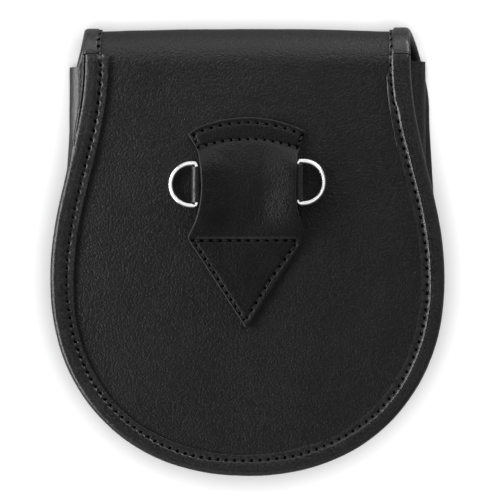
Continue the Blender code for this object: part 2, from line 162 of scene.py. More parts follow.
def follow(at, places, points):
    """The (x, y) at these places along a line of points."""
    return tuple(np.interp(at, places, points[:, i]) for i in (0, 1))


def measure(points):
    """The distance along a line to each of its points."""
    return np.concatenate([[0], np.cumsum(np.hypot(*np.diff(points, axis=0).T))])


# ==== outlines
PAST_END = 0.2  # from the last point of a round end to the next one


def round_end(half, drop, steps=500):
    """A superellipse from the tip of a round end to its widest point."""
    turn = np.linspace(0, np.pi / 2, steps)
    return points_of(half * np.sin(turn) ** (2 / ROUNDNESS), -drop * np.cos(turn) ** (2 / ROUNDNESS))


def round_half(half, drop, past):
    share = np.clip(past / drop, 0.0, 1.0)
    return half * (1 - share**ROUNDNESS) ** (1 / ROUNDNESS)


def strap_half(run):
    """Half the width of the back, the neck and the flap, edging included."""
    back = round_half(BACK_HALF, BACK_DROP, -run)
    neck = NECK_HALF + (BACK_HALF - NECK_HALF) * raised_cosine(run / BACK_FLARE)
    flare = raised_cosine((run - FLARE_RUN) / FLAP_FLARE)
    flare = FLAP_SHOULDER_HALF - (FLAP_SHOULDER_HALF - NECK_HALF) * flare
    flare += (FLAP_HALF - FLAP_SHOULDER_HALF) * smooth((run - SHOULDER_RUN) / (FLAP_WIDEST - SHOULDER_RUN))
    flap = round_half(FLAP_HALF, FLAP_DROP, run - FLAP_WIDEST)
    return np.select([run < 0, run < FLARE_RUN, run < FLAP_WIDEST], [back, neck, flare], flap)


def front_half(y):
    side = FRONT_TOP_HALF + (FRONT_HALF - FRONT_TOP_HALF) * raised_cosine(y / FRONT_FLARE)
    return np.where(y < 0, round_half(FRONT_HALF, FRONT_DROP, -y), side)


class Outline:
    """The right half of an outline, by distance along it. A distance below 0 is its place on the left."""

    def __init__(self, points, last_inward=None):
        self.points = points
        self.distances = measure(points)
        self.length = self.distances[-1]
        along = unit(np.gradient(points, self.distances, axis=0))
        self.inward = points_of(-along[:, 1], along[:, 0])
        self.inward[0] = (0, 1)
        if last_inward:
            self.inward[-1] = last_inward

    def at(self, distance, inset):
        """(x, run) at this distance, moved this far inwards."""
        x, run = follow(np.abs(distance), self.distances, self.points)
        in_x, in_run = follow(np.abs(distance), self.distances, self.inward)
        x = x + inset * in_x
        return np.where(distance < 0, -x, x), run + inset * in_run

    def from_tip(self, distance, inset):
        """The same by the distance from the outline's far end."""
        return self.at(np.copysign(self.length - np.abs(distance), distance), inset)

    def at_run(self, run, start=0.0):
        """The distance of the first point past start whose run reaches this."""
        return self.distances[np.argmax((self.distances >= start) & (self.points[:, 1] >= run))]


def strap_outline():
    run = np.linspace(PAST_END, FLAP_WIDEST - PAST_END, 1200)
    side = points_of(strap_half(run), run)
    tip = round_end(FLAP_HALF, FLAP_DROP)[::-1] * (1, -1) + (0, FLAP_WIDEST)
    return Outline(np.concatenate([round_end(BACK_HALF, BACK_DROP), side, tip]), (0, -1))


def front_outline():
    y = np.linspace(PAST_END, FRONT_TOP, 500)
    return Outline(np.concatenate([round_end(FRONT_HALF, FRONT_DROP), points_of(front_half(y), y)]))


STRAP = strap_outline()
FRONT = front_outline()
NECK = STRAP.at_run(CROWN_RUN)
MEET = STRAP.at_run(CROWN_RUN - BINDING_START)  # where the back's edging meets the flap's
FOLD_IN = STRAP.at_run(FOLD_LINE)
FOLD_OUT = STRAP.at_run(FOLD_LINE + FOLD_RUN, NECK)


# ==== from flat leather to the pouch
def uneven(x, y):
    """Sine waves, each a fifth shorter and lower than the last and turned by the golden angle from it, as
    leather that has been handled isn't quite flat."""
    height = 0.0
    for k in range(UNEVEN_COUNT):
        turn, size = GOLDEN_ANGLE * k, UNEVEN_SHRINK**k
        along = x * math.cos(turn) + y * math.sin(turn)
        wave = np.sin(math.tau * along / (UNEVEN_WAVE * size) + UNEVEN_START * k)
        height = height + UNEVEN_HEIGHT * size * wave
    return height


def swell(x, run):
    """How far the leather stands out of its plain fold: a smooth step from row to row of the table, times a
    dome across that ends at the edging, and the unevenness."""
    runs, heights = (np.array(column) for column in zip(*SWELL))
    row = np.clip(np.searchsorted(runs, run) - 1, 0, len(runs) - 2)
    share = smooth((run - runs[row]) / (runs[row + 1] - runs[row]))
    height = heights[row] + (heights[row + 1] - heights[row]) * share
    across = dome(x, strap_half(run) - BAND)
    ends = smooth((run - runs[0]) / SWELL_END) * smooth((runs[-1] - run) / SWELL_END)
    return height * across + uneven(x, run) * np.minimum(1.0, 4 * across) * ends


def drape(x, run, lift=0.0):
    """The plane of the back, the half cylinder of the fold, and the plane of the flap, in one: y goes up to
    the fold line, round with the sine of the bend, and back down, and z goes with its cosine."""
    lift = lift + swell(x, run)
    x = x + FLAP_SKEW * smooth((run - FLARE_RUN) / SKEW_REACH)
    bend = np.clip((run - FOLD_LINE) / FOLD_RADIUS, 0.0, np.pi)
    radius = FOLD_RADIUS + lift
    past = np.maximum(0.0, run - FOLD_LINE - FOLD_RUN)
    y = WIDEST_Y + np.minimum(run, FOLD_LINE) + radius * np.sin(bend) - past
    return np.stack(np.broadcast_arrays(x, y, FOLD_Z + radius * np.cos(bend)), -1)


def front_place(x, y, lift=0.0):
    """The pouch's front, whose outside faces down. Lift is towards the inside."""
    out = dome(x, front_half(y) - BAND) * dome(y, FRONT_DROP - BAND)
    side, up = x / FRONT_TOP_HALF, smooth(y / FRONT_TOP)
    z = FRONT_Z + FRONT_RISE * up * (1 + side) / 2 - (FRONT_SWELL + uneven(x + FRONT_UNEVEN, y)) * out + lift
    return np.stack(np.broadcast_arrays(x, WIDEST_Y + y + FRONT_LEAN * up * side, z), -1)


# ==== meshes
def slab(top, bottom):
    """Two grids of the same size as one closed body: the faces of each, and a rim between their borders."""
    rows, columns = top.shape[:2]
    count = rows * columns
    at = np.arange(count).reshape(rows, columns)
    faces = np.stack([at[:-1, :-1], at[:-1, 1:], at[1:, 1:], at[1:, :-1]], -1).reshape(-1, 4)
    border = np.concatenate([at[0, :-1], at[:-1, -1], at[-1, :0:-1], at[:0:-1, 0]])
    after = np.roll(border, -1)
    rim = np.stack([after, border, border + count, after + count], 1)
    points = np.concatenate([top.reshape(-1, 3), bottom.reshape(-1, 3)])
    return points, np.concatenate([faces, faces[:, ::-1] + count, rim]), []


def tube(rings, closed=False):
    """Rings of points joined one to the next, with flat ends, or joined round into a hoop."""
    stations, around = rings.shape[:2]
    at = np.arange(stations * around).reshape(stations, around)
    nearer = at if closed else at[:-1]
    farther = np.roll(at, -1, axis=0) if closed else at[1:]
    faces = np.stack([nearer, np.roll(nearer, -1, 1), np.roll(farther, -1, 1), farther], -1).reshape(-1, 4)
    ends = [] if closed else [at[0, ::-1].tolist(), at[-1].tolist()]
    return rings.reshape(-1, 3), faces, ends


def joined(shapes):
    """Several closed bodies as one."""
    points, faces, ends = [], [], []
    count = 0
    for made, quads, caps in shapes:
        points.append(made)
        faces.append(quads + count)
        ends += [[i + count for i in cap] for cap in caps]
        count += len(made)
    return np.concatenate(points), np.concatenate(faces), ends


def volume(points, faces):
    """Six times the volume, from the corners' triple products: below 0 for a body that is inside out."""
    a, b, c, d = (points[faces[:, i]] for i in range(4))
    return (np.cross(a, b) * c).sum() + (np.cross(a, c) * d).sum()


def put(name, data):
    """A new object in the scene."""
    made = bpy.data.objects.new(name, data)
    bpy.context.scene.collection.objects.link(made)
    return made


def add_piece(name, body, node, shape, material, marks=None, uv=None, sharp=50):
    """One closed piece, in place of its CAD node if it has one. Marks are values at its points."""
    points, faces, ends = shape
    if volume(points, faces) < 0:
        faces, ends = faces[:, ::-1], [end[::-1] for end in ends]
    mesh = bpy.data.meshes.new(name)
    mesh.from_pydata((points * MM).tolist(), [], faces.tolist() + ends)
    for mark, values in (marks or {}).items():
        layer = mesh.attributes.new(mark, "FLOAT", "POINT")
        layer.data.foreach_set("value", np.asarray(values, np.float32).ravel())
    if uv is not None:
        corners = np.zeros(len(mesh.loops), np.int32)
        mesh.loops.foreach_get("vertex_index", corners)
        layer = mesh.uv_layers.new(name="UVMap")
        layer.data.foreach_set("uv", uv[corners].astype(np.float32).ravel())
    mesh.shade_smooth()
    mesh.set_sharp_from_angle(angle=math.radians(sharp))
    mesh.materials.append(material)
    piece = put(name, mesh)
    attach(piece, body)
    if node:
        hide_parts(node)
    return piece


def normals(grid):
    """The unit normal at each point of a grid, from the cross product of its two directions."""
    across = np.cross(np.gradient(grid, axis=1), np.gradient(grid, axis=0))
    return across / np.linalg.norm(across, axis=-1, keepdims=True)


def two_sides(grid):
    """Values for a slab's points: 0 on its first grid, and 1 on its second."""
    count = grid.shape[0] * grid.shape[1]
    return np.concatenate([np.zeros(count), np.ones(count)])


def sheet(name, node, top, bottom, material, **marks):
    """A sheet of panel leather between two grids, with its flesh side on the second."""
    marks["flesh"] = two_sides(top)
    add_piece(name, "pouch", node, slab(top, bottom), material, marks)


# ==== shader maths
class Socket:
    """A node's output, for use in Python sums. Each operator adds a Math node."""

    def __init__(self, paint, socket):
        self.paint, self.socket = paint, socket

    def math(self, operation, *values):
        return self.paint.node("Math", {"operation": operation}, dict(enumerate(values)))

    def __add__(self, other):
        return self.math("ADD", self, other)

    def __sub__(self, other):
        return self.math("SUBTRACT", self, other)

    def __rsub__(self, other):
        return self.math("SUBTRACT", other, self)

    def __mul__(self, other):
        return self.math("MULTIPLY", self, other)

    def clamp(self):
        return self.paint.node("Clamp", {}, {"Value": self})

    __radd__ = __add__
    __rmul__ = __mul__


class Paint:
    """One material, as the nodes that are added to it."""

    def __init__(self, name):
        self.material = bpy.data.materials.new(name)
        self.material.use_nodes = True
        self.tree = self.material.node_tree
        self.tree.nodes.clear()

    def node(self, kind, settings, sockets, out=0):
        """Any node: its settings, then the values or links of its sockets. Gives its output of this name."""
        made = self.tree.nodes.new("ShaderNode" + kind)
        for key, value in settings.items():
            setattr(made, key, value)
        for key, value in sockets.items():
            if isinstance(value, Socket):
                self.tree.links.new(value.socket, made.inputs[key])
            else:
                made.inputs[key].default_value = value
        return Socket(self, made.outputs[out])

    def place(self, output="Object"):
        return self.node("TexCoord", {}, {}, output)

    def noise(self, where, per_metre, detail=2.0, roughness=0.5, distortion=0.0):
        sockets = {"Vector": where, "Scale": per_metre, "Detail": detail}
        sockets.update({"Roughness": roughness, "Distortion": distortion})
        return self.node("TexNoise", {}, sockets, "Fac")

    def cells(self, where, per_metre, **more):
        sockets = {"Vector": where, "Scale": per_metre, **more}
        return self.node("TexVoronoi", {"feature": "SMOOTH_F1"}, sockets, "Distance")

    def mark(self, name):
        return self.node("Attribute", {"attribute_name": name}, {}, "Fac")

    def span(self, value, low, high, to_low=0.0, to_high=1.0):
        sockets = {"Value": value, "From Min": low, "From Max": high, "To Min": to_low, "To Max": to_high}
        return self.node("MapRange", {"interpolation_type": "SMOOTHSTEP"}, sockets)

    def mix(self, factor, first, second):
        """A colour between two colours, each given as a grey, a colour or a socket."""
        first, second = ((c, c, c, 1) if isinstance(c, float) else c for c in (first, second))
        return self.node("Mix", {"data_type": "RGBA"}, {0: factor, 6: first, 7: second}, 2)

    def bump(self, height, depth):
        return self.node("Bump", {}, {"Height": height, "Distance": depth * MM, "Strength": 1.0})

    def finish(self, **sockets):
        """The shader, by its sockets' names in small letters, and the material's output."""
        names = {key.replace("_", " ").title().replace("Ior", "IOR"): value for key, value in sockets.items()}
        shader = self.node("BsdfPrincipled", {}, names, "BSDF")
        output = self.tree.nodes.new("ShaderNodeOutputMaterial")
        self.tree.links.new(shader.socket, output.inputs["Surface"])
        return self.material


def leather(name, grey, roughness, pebble, depth, creases, ior=1.5, edge=0.014):
    """Black grain leather: rounded cells of the pebble's size in mm, with fine dark creases between them and
    paler specks, on a slow wander of tone. Marked places are a cut edge, duller and greyer, the rough flesh
    side, or leather that is polished by wear. Where the edge grey is set paler, as on the belt loop, it is
    partly a painted highlight."""
    paint = Paint(name)
    where = paint.place()
    warp = paint.noise(where, 420.0, 2.0)
    cells = paint.cells(where, 1 / (pebble * MM), Smoothness=0.35, Randomness=1.0)
    fine = paint.noise(where, 3600.0, 3.0, 0.6)
    specks = paint.noise(where, 1150.0, 2.0, 0.7)
    coarse = paint.noise(where, 34.0, 4.0, 0.55, 0.6)
    cloud = paint.noise(where, 9.0, 2.0)
    cut, flesh, polish = paint.mark("cut"), paint.mark("flesh"), paint.mark("polish")
    grain = (1.0 - cells * 1.4) * 0.75 + fine * 0.35 + warp * 0.4 + specks * 0.9
    fibre = paint.noise(where, 1500.0, 4.0, 0.75)
    height = grain * (1.0 - flesh) + fibre * flesh * 2.4 + coarse * creases
    tone = paint.span(coarse * 0.6 + cloud * 0.4, 0.35, 0.65)
    base = paint.mix(tone, grey * 0.85, grey * 1.15)
    base = paint.mix(paint.span(specks, 0.45, 0.72) * 0.6, base, grey * 2.6)
    base = paint.mix(paint.span(cells, 0.40, 0.85) * 0.7, base, grey * 0.15)
    base = paint.mix(cut, base, edge)
    base = paint.mix(flesh, base, 0.022)
    rough = roughness + (fine - 0.5) * 0.14 + (coarse - 0.5) * 0.12 + cut * 0.12 + flesh * 0.4 - polish * 0.18
    bumps = paint.bump(height, depth)
    return paint.finish(base_color=base, roughness=rough.clamp(), normal=bumps, ior=ior)


def hole_shade_finish():
    """Painted shade: a near-black finish that barely reflects, in place of the shadow inside a needle hole.
    """
    paint = Paint("needle_hole_painted_shade")
    return paint.finish(base_color=(0.0012, 0.0012, 0.0012, 1), roughness=1.0, ior=1.05)


def thread_finish():
    """Waxed black thread: strands that wind round it, from its own map, where u goes round and v along."""
    paint = Paint("black_thread")
    u, v = (paint.node("SeparateXYZ", {}, {"Vector": paint.place("UV")}, axis) for axis in ("X", "Y"))
    strand = (u * 2.0 + v * 1.4) * math.tau
    twist = strand.math("SINE", strand)
    fuzz = paint.noise(paint.place(), 5200.0, 2.0)
    base = paint.mix(paint.span(twist, -0.9, 0.4), 0.003, 0.008)
    bumps = paint.bump(twist * 0.6 + fuzz * 0.4, 0.05)
    return paint.finish(base_color=base, roughness=(0.5 + fuzz * 0.2).clamp(), normal=bumps)


def nickel_finish():
    """Bright plated wire, with faint rubbed patches and fine hairlines."""
    paint = Paint("bright_nickel")
    where = paint.place()
    rubbed = paint.noise(where, 260.0, 3.0, 0.6)
    hairs = paint.noise(where, 2600.0, 2.0, 0.5)
    base = paint.mix(paint.span(rubbed, 0.35, 0.7), 0.74, 0.88)
    rough = (0.22 + rubbed * 0.10 + hairs * 0.05).clamp()
    return paint.finish(base_color=base, metallic=1.0, roughness=rough, normal=paint.bump(hairs, 0.004))


PANEL_LEATHER = leather("panel_leather_black", 0.0065, 0.48, 0.85, 0.20, 0.35)
EDGING_LEATHER = leather("edging_leather_black", 0.0240, 0.32, 0.70, 0.08, 0.5)
# the belt loop's cut-edge grey of 0.035 is the raw edge's own grey, brightened as a painted highlight
LOOP_LEATHER = leather("loop_leather_black", 0.0055, 0.50, 0.75, 0.16, 0.3, 1.38, 0.035)
GUSSET_LEATHER = leather("gusset_leather_black", 0.0070, 0.45, 0.75, 0.08, 0.9)
# painted shade: a near-black finish for the dark inside the needle holes
HOLE_SHADE = hole_shade_finish()
THREAD = thread_finish()
NICKEL = nickel_finish()


# ==== panels
CORNER_REACH = 62.0  # along a round end, from its tip to the corner of the grid laid on it


def spread(zones):
    """Distances along an edge, evenly spaced between the (distance, row) zones."""
    distances, rows = zip(*zones)
    return np.interp(np.arange(rows[-1] + 1), rows, distances)


def patch(*edges):
    """The flat sheet stretched between its left, right, bottom and top edges: the blend of its sides, and of
    its ends, less the blend of its corners."""
    left, right, bottom, top = (points_of(*edge) for edge in edges)
    u = np.linspace(0, 1, len(bottom))[None, :, None]
    v = np.linspace(0, 1, len(left))[:, None, None]
    sides = (1 - u) * left[:, None] + u * right[:, None]
    ends = (1 - v) * bottom[None] + v * top[None]
    corners = (1 - v) * ((1 - u) * bottom[0] + u * bottom[-1]) + v * ((1 - u) * top[0] + u * top[-1])
    flat = sides + ends - corners
    return flat[..., 0], flat[..., 1]


def back_and_flap():
    """The whole flat leather, draped on both its faces."""
    side = spread(((CORNER_REACH, 0), (FOLD_IN, 84), (FOLD_OUT, 156), (STRAP.length - CORNER_REACH, 236)))
    end = np.linspace(-CORNER_REACH, CORNER_REACH, 97)
    edges = [STRAP.at(distance, EDGE_INSET) for distance in (-side, side, end)]
    x, run = patch(*edges, STRAP.from_tip(end, EDGE_INSET))
    top, bottom = drape(x, run, PANEL_T / 2), drape(x, run, -PANEL_T / 2)
    sheet("back_and_flap", "back_flap_leather", top, bottom, PANEL_LEATHER)


def front_leather():
    side = spread(((CORNER_REACH, 0), (FRONT.length, 76)))
    end = np.linspace(-CORNER_REACH, CORNER_REACH, 73)
    share = np.linspace(-1, 1, len(end))
    edges = [FRONT.at(distance, EDGE_INSET) for distance in (-side, side, end)]
    x, y = patch(*edges, (share * (FRONT_TOP_HALF - EDGE_INSET), FRONT_TOP))
    top, bottom = front_place(x, y, -PANEL_T / 2), front_place(x, y, PANEL_T / 2)
    sheet("front_leather", "front_panel", top, bottom, PANEL_LEATHER)


# ==== edging
# The values of the back's outer leg, by the signed distance from its bottom, where below 0 is the left: how
# far each line is averaged each way, and its rows of distance and value.
BACK_LEG = {
    "stitch": (1.0, (
        (-227, 7.2), (-115, 7.2), (-60, 6.7), (-30, 6.2), (0, 6.5), (30, 6.8), (115, 7.0), (160, 7.2),
        (206, 7.7), (208.5, 8.4), (227, 8.5),
    )),
    "band": (0.8, (
        (-227, 10.6), (-170, 10.2), (-115, 9.8), (-60, 8.9), (0, 9.0), (60, 10.4), (115, 11.0), (180, 11.0),
        (196, 10.4), (219, 10.6), (221, 9.4), (227, 9.4),
    )),
    "cut": (3.0, (
        (-140, 1.05), (-118, 0.66), (-20, 0.58), (40, -0.12), (190, -0.12), (200, 0.45), (206, 0.80),
    )),
    "shelf": (3.0, ((-140, 0.80), (-118, 0.62), (-20, 0.60), (40, 0.22), (196, 0.22), (206, 0.72))),
    "curl": (1.5, ((203, 0.0), (209, 0.55), (218, 0.55), (222, 0.0))),
    "groove": (3.0, ((-60, 0.62), (30, 0.30), (196, 0.30), (206, 0.60))),
    "holes": (3.0, (
        (-190, 1.0), (-172, 0.74), (-125, 0.74), (-100, 1.0), (20, 1.0), (60, 1.25), (195, 1.25), (210, 1.0),
    )),
    "ridge": (3.0, ((20, 0.0), (45, 1.0))),
    "reach": (5.0, ((-195, 3.3), (-170, 2.3), (150, 2.5))),
    "power": (3.0, ((-204, 3.6), (-184, 2.0))),
    "plump": (5.0, ((-200, 0.85), (-180, 0.0))),
    "crease": (3.0, ((-204, 1.0), (-184, 0.0))),
    "shine": (3.0, ((195, 0.0), (208, 0.8))),
}
SHOULDER = 1.17  # the height where an edging starts to round over
BEVEL, CUT_LEAST = 0.12, 0.03  # of the cut edge's corner, and the least height of the edge under it
GROOVE_HALF = 0.72  # from the stitches to the margin's first point
SHELF_END, SLOPE_LEAST = 1.2, 0.5  # from the stitches to the slope to the cut edge, and its least width
MARGIN_FOOT, MARGIN_PULL, MARGIN_RISE = 0.05, 0.5, 1.0  # from the stitches, more at a hole, and its width
WALL_FOOT, WALL_PULL, WALL_RISE = 0.10, 0.22, 0.70  # the same on the side of the nose
WALL_TOP, WALL_DIP = 1.1, 0.1  # how far it is from the stitches, and how far a hole pulls it down
ROLL_START = 0.9  # from the stitches to where the leather starts to swell up over the wall
CURL_RISE, CURL_FALL, CURL_UNDER = 1.6, 1.3, 0.25  # the widths it goes up and down over, and its foot's share
RIDGE_WIDER, RIDGE_FIRM, RIDGE_POLISH = 0.5, 0.9, 0.6
RIDGE_COLUMNS = slice(-13, -4)  # of a fine leg's points: its wall and the start of its roll
GROOVE_PLACES = {True: (0.57, 0.38, 0.19, 0.0, -0.19), False: (0.3, -0.1)}  # by whether a leg is fine
WALL_PLACES = {True: (-0.36, -0.50, -0.66, -0.80, -0.94, -1.1), False: (-0.5, -0.8, -1.1)}
MARGIN_POINTS, ROLL_POINTS = {True: 8, False: 2}, {True: 7, False: 3}
HOLE_DEPTH, HOLE_LONG, HOLE_WIDE, HOLE_SLANT = 0.50, 0.92, 0.58, math.radians(28)
# the thickness and sinking of the near-black ellipsoid of painted shade in each hole
HOLE_THICK, HOLE_SUNK = 0.10, 0.20
DIMPLE_LONG, DIMPLE_WIDE = 1.15, 1.3  # of its hole's size
CREASE_DEPTH, CREASE_INSET = 0.80, 0.98
CREASE_NARROW, CREASE_WIDE, CREASE_SHARE = 0.20, 1.15, 0.40  # inside its bottom, this share of it is narrow
CREASE_POLISH = 0.2  # how far in past its bottom the nose is polished
CUT_DARK, CUT_PALER = 0.15, 0.25  # an edge that is cut this low isn't grey, and one this much higher is
NOSE_TURNS = np.radians((82, 74, 66, 58, 51, 45, 40, 35, 30, 26, 22, 17, 11, 5, 0, -15, -30, -45, -60, -75))
LINING_TURN, LINING_STEPS = 1.5707, 9
THREAD_SUNK, THREAD_DIVE, THREAD_SLANT, THREAD_FLAT = 0.14, 0.75, 0.5, 0.85
THREAD_TURNS = circle(8)
SEAM_END = 4  # stations from an edging's end to its seams' ends


@dataclass
class Leg:
    """One leg of an edging, over what it is sewn to. Each value is one number, or one for each station."""

    stitch: float  # the inset of its stitches
    band: float  # the inset of its cut edge
    cut: float = 0.7  # its height there
    shelf: float = 0.72  # its height between the two
    curl: float = 0.0  # how far its margin curls up
    groove: float = 0.62  # its height under the stitches
    holes: float = 1.0  # their size
    ridge: float = 0.0  # 1 makes the wall past the groove wider, firmer and polished
    shoulder: float = SHOULDER
    puff: float = 0.2  # how far it swells between the wall and the nose
    reach: float = EDGE_INSET  # how far in the nose starts
    power: float = 2.0  # of the nose: 2 is an ellipse, less is flatter, and more is squarer
    plump: float = 0.0  # how far the nose stands out further
    crease: float = 0.0  # how far its half of the nose is creased along, near its widest line
    shine: float = 0.0  # how far its half of the nose is polished
    fine: bool = False  # whether it has more points

    def columns(self, distance, *names):
        """Its values of these names, as columns with one row for each station."""
        return [np.broadcast_to(getattr(self, name), distance.shape)[:, None] for name in names]

    def profile(self, distance):
        """(inset, height) from the cut edge to where the nose starts: up the edge, along the margin, down
        into the groove of the stitches, up a steep wall, and over a plump roll."""
        stitch, band, cut, shelf, curl = self.columns(distance, "stitch", "band", "cut", "shelf", "curl")
        low, holes, ridge = self.columns(distance, "groove", "holes", "ridge")
        shoulder, reach = self.columns(distance, "shoulder", "reach")
        wider = 1 + RIDGE_WIDER * ridge
        margin = np.linspace(0.16, 1, MARGIN_POINTS[self.fine], endpoint=False)
        roll = np.linspace(0, 1, ROLL_POINTS[self.fine] + 1)[1:]
        inset = np.concatenate(
            [
                np.repeat(band, 2, 1),
                band - BEVEL,
                band - BEVEL - (band - stitch - GROOVE_HALF) * margin,
                stitch + np.array(GROOVE_PLACES[self.fine]),
                stitch + np.array(WALL_PLACES[self.fine]) * wider,
                stitch - WALL_TOP * wider + (reach - stitch + WALL_TOP * wider) * roll,
            ],
            1,
        )
        phase = distance[:, None] / PITCH + 0.5
        pull = (1 + np.cos(math.tau * phase)) / 2  # 1 at a hole
        q = inset - stitch
        height = low + (shelf - low) * smooth((q - MARGIN_FOOT - MARGIN_PULL * pull) / MARGIN_RISE)
        height += (cut - shelf) * smooth((q - SHELF_END) / np.maximum(SLOPE_LEAST, band - stitch - SHELF_END))
        height += curl * (smooth(q / CURL_RISE) - np.clip(1 - (band - inset) / CURL_FALL, 0, 1) ** 2)
        rise = smooth((-q - WALL_FOOT - WALL_PULL * pull * (1 - RIDGE_FIRM * ridge)) / (WALL_RISE * wider))
        rise *= shoulder - low - WALL_DIP * pull * bell(q, 2)
        over = np.clip((inset - reach) / np.maximum(1.0, stitch - ROLL_START - reach), 0, 1)
        height = np.where(q > 0, height, low + rise + self.puff * np.sin(np.pi * over) ** 2)
        height = height - dimples(phase, q, holes) * (1 - RIDGE_FIRM * ridge * smooth(0.2 - q / 0.5))
        height[:, 1] = height[:, 2] - BEVEL
        height[:, 0] = np.minimum(CURL_UNDER * curl[:, 0], height[:, 1] - CUT_LEAST)
        return inset, height


@dataclass
class Seam:
    """A row of stitches."""

    distance: np.ndarray  # along it, and at each of them:
    inset: np.ndarray
    floor: np.ndarray  # the height of its groove
    size: np.ndarray  # of its holes
    side: int  # 1 outside, and -1 inside
    place: object  # the function that takes a distance, an inset and a lift


def dimple(along, across, long, wide):
    """Leather pulled down round a hole of these half sizes, as a bell that is a little larger."""
    return HOLE_DEPTH * np.exp(-((along / (DIMPLE_LONG * long)) ** 2) - (across / (DIMPLE_WIDE * wide)) ** 2)


def dimples(phase, across, size):
    """A dimple at each whole number of stitches, turned to the slant of its hole."""
    along = (phase - np.round(phase)) * PITCH
    long = along * math.cos(HOLE_SLANT) + across * math.sin(HOLE_SLANT)
    wide = across * math.cos(HOLE_SLANT) - along * math.sin(HOLE_SLANT)
    return size * dimple(long, wide, HOLE_LONG * size, HOLE_WIDE * size)


def nose(distance, turn, legs, widest, halves, wall=0.0):
    """(inset, lift) round the nose by the turn from its widest line, which is at this lift: a quarter of a
    superellipse for each leg, inside the wall."""
    columns = (leg.columns(distance, "reach", "power") for leg in legs)
    reach, power = (np.where(turn > 0, *pair) for pair in zip(*columns))
    inset = wall + (reach - wall) * (1 - np.cos(turn) ** (2 / power))
    return inset, widest + np.where(turn > 0, *halves) * np.sign(turn) * np.abs(np.sin(turn)) ** (2 / power)


def edging(name, node, distance, place, legs, floors, steps, widest=None):
    """The whole section carried along the edge: the outer leg, the nose, the inner leg, and back inside. It
    is polished outside the nose's crease, on the ridge by the stitches, and where the outer leg shines."""
    (out_inset, out_height), (in_inset, in_height) = (leg.profile(distance) for leg in legs)
    out_shoulder, cut_height, ridge, plump = legs[0].columns(distance, "shoulder", "cut", "ridge", "plump")
    crease, shine = legs[0].columns(distance, "crease", "shine")
    (in_shoulder,) = legs[1].columns(distance, "shoulder")
    top, bottom = floors[0] + out_shoulder, -floors[1] - in_shoulder
    widest = (top + bottom) / 2 if widest is None else widest
    turn = NOSE_TURNS
    nose_inset, nose_lift = nose(distance, turn, legs, widest, (top - widest, widest - bottom))
    past = nose_inset - CREASE_INSET
    narrow, wide = bell(past, CREASE_NARROW), bell(past, CREASE_WIDE)
    dent = np.where(past < 0, narrow, wide + CREASE_SHARE * (narrow - wide))
    nose_lift = nose_lift - CREASE_DEPTH * crease * (turn > 0) * dent
    nose_inset = nose_inset - (plump - waver(distance, 0.12, 2.0)[:, None]) * np.cos(turn)
    inside = np.linspace(-LINING_TURN, LINING_TURN, LINING_STEPS)
    halves = floors[0] - widest, widest + floors[1]
    lining_inset, lining_lift = nose(distance, inside, legs, widest, halves, EDGING_T)
    inset = np.concatenate([out_inset, nose_inset, in_inset[:, ::-1], lining_inset], 1)
    in_lift = -floors[1] - in_height[:, ::-1]
    lift = np.concatenate([floors[0] + out_height, nose_lift, in_lift, lining_lift], 1)
    cut, polish = np.zeros(inset.shape), np.zeros(inset.shape)
    cut[:, :2] = smooth((cut_height - CUT_DARK) / CUT_PALER)
    cut[:, -LINING_STEPS - 2 : -LINING_STEPS] = 1
    start = out_inset.shape[1]
    polish[:, start : start + len(turn)] = crease * (past < CREASE_POLISH) + shine
    polish[:, :start][:, RIDGE_COLUMNS] = RIDGE_POLISH * ridge
    marks = {"cut": cut, "flesh": 0 * cut, "polish": polish}
    shape = tube(place(distance[:, None], inset, lift))
    add_piece(name, "pouch", node, shape, EDGING_LEATHER, marks)
    sew(name, distance, place, legs, floors, steps)


def sew(name, distance, place, legs, floors, steps):
    """The stitches and needle holes of both legs of an edging, with a station for each of these steps. Each
    hole holds a dark ellipsoid of painted shade.
    """
    seams = []
    for leg, floor, step, side in zip(legs, floors, steps, (1, -1)):
        kept = slice(SEAM_END, -SEAM_END, step)
        columns = leg.columns(distance, "stitch", "groove", "holes")
        stitch, groove, holes = (column[kept, 0] for column in columns)
        seams.append(Seam(distance[kept], stitch, floor + groove, holes, side, place))
    stitches(name + "_thread", seams)
    hole_shades(name + "_hole_shade", seams)


def thread(seam, radius):
    """A tube that dives into each hole, and slants a little across its groove between them."""
    phase = seam.distance / PITCH + 0.5
    share = phase - np.floor(phase)
    arch = np.sin(np.pi * share) ** 0.5
    rise = seam.floor - THREAD_SUNK - THREAD_DIVE * (1 - arch)
    slant = (0.5 - share) * THREAD_SLANT * arch
    across = (seam.inset + slant)[:, None] + radius * np.cos(THREAD_TURNS)
    lift = seam.side * (rise[:, None] + radius * THREAD_FLAT * np.sin(THREAD_TURNS))
    return tube(seam.place(seam.distance[:, None] + 0 * across, across, lift))


def stitches(name, seams, radius=THREAD_R):
    """The thread of all the seams, with a map where u goes round it and v along."""
    maps = [points_of(THREAD_TURNS / math.tau, seam.distance[:, None]).reshape(-1, 2) for seam in seams]
    shape = joined(thread(seam, radius) for seam in seams)
    add_piece(name, "pouch", None, shape, THREAD, uv=np.concatenate(maps), sharp=80)


